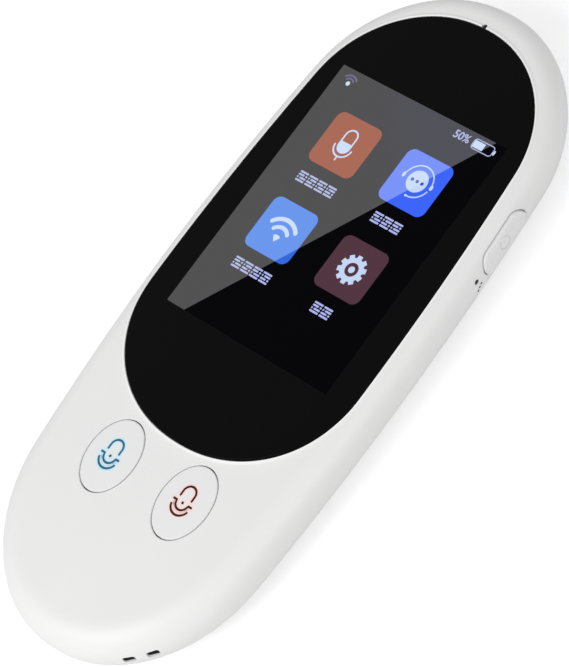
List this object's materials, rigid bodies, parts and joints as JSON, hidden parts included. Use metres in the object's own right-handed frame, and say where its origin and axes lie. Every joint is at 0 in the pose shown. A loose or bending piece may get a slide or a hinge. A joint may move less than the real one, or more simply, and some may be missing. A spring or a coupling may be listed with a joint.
{
  "type": "handheld translator",
  "caption": "Slim white pocket device with round ends, black cover glass over a colour display, two oval talk buttons and a side power button.",
  "frame": {"origin": "middle of the flat back face, on which the device lies", "axes": "+Z out of the display, +Y towards the display end, +X towards the power button"},
  "size_m": [0.0534, 0.1268, 0.0119],
  "materials": {
    "shell": "satin",
    "key_white": "satin",
    "cover_glass": "gloss",
    "display": "gloss",
    "diffuser": "satin",
    "adhesive": "matte",
    "foam": "matte",
    "ribbon": "satin",
    "steel": "satin",
    "plated": "polished",
    "bracket": "satin",
    "board": "satin",
    "chip": "matte",
    "connector": "satin",
    "plunger": "satin",
    "boot": "matte",
    "black_plastic": "satin",
    "cell": "matte",
    "wire": "satin",
    "mesh": "matte",
    "copper": "satin"
  },
  "bodies": {
    "housing": {"front_housing": "shell", "rear_cover": "shell", "cover_glass": "cover_glass", "glass_tape": "adhesive", "touch_sensor": "display", "display_panel": "display", "display_backlight": "diffuser", "display_tray": "steel", "display_foam": "foam", "display_ribbon": "ribbon", "display_connector": "connector", "display_bracket": "bracket", "left_switch": "steel", "right_switch": "steel", "key_board": "board", "key_ribbon": "ribbon", "power_switch": "steel", "side_microphone": "plated", "side_mic_boot": "boot", "top_microphone": "plated", "top_mic_boot": "boot", "main_board": "board", "processor": "chip", "memory_chip": "chip", "shield_can": "steel", "wireless_module": "steel", "usb_shell": "plated", "usb_tongue": "black_plastic", "battery": "cell", "battery_tape": "adhesive", "battery_foam": "foam", "battery_leads": "wire", "battery_plug": "connector", "speaker": "black_plastic", "speaker_gasket": "foam", "speaker_mesh": "mesh", "speaker_leads": "wire", "antenna": "copper", "antenna_lead": "black_plastic", "board_screw_1": "steel", "key_screw_1": "steel", "board_screw_2": "steel", "key_screw_2": "steel", "board_screw_3": "steel", "key_screw_3": "steel", "board_screw_4": "steel", "key_screw_4": "steel"},
    "left_talk_button": {"left_button": "key_white", "left_plunger": "plunger"},
    "right_talk_button": {"right_button": "key_white", "right_plunger": "plunger"},
    "power_key": {"power_button": "key_white", "power_plunger": "plunger"}
  },
  "joints": [
    {"name": "left_talk_slide", "type": "slide", "parent": "housing", "child": "left_talk_button", "axis": [0, 0, -1], "range_m": [0, 0.0004], "stiffness_N_per_m": 4000},
    {"name": "right_talk_slide", "type": "slide", "parent": "housing", "child": "right_talk_button", "axis": [0, 0, -1], "range_m": [0, 0.0004], "stiffness_N_per_m": 4000},
    {"name": "power_slide", "type": "slide", "parent": "housing", "child": "power_key", "axis": [-1, 0, 0], "range_m": [0, 0.0003], "stiffness_N_per_m": 6000}
  ]
}
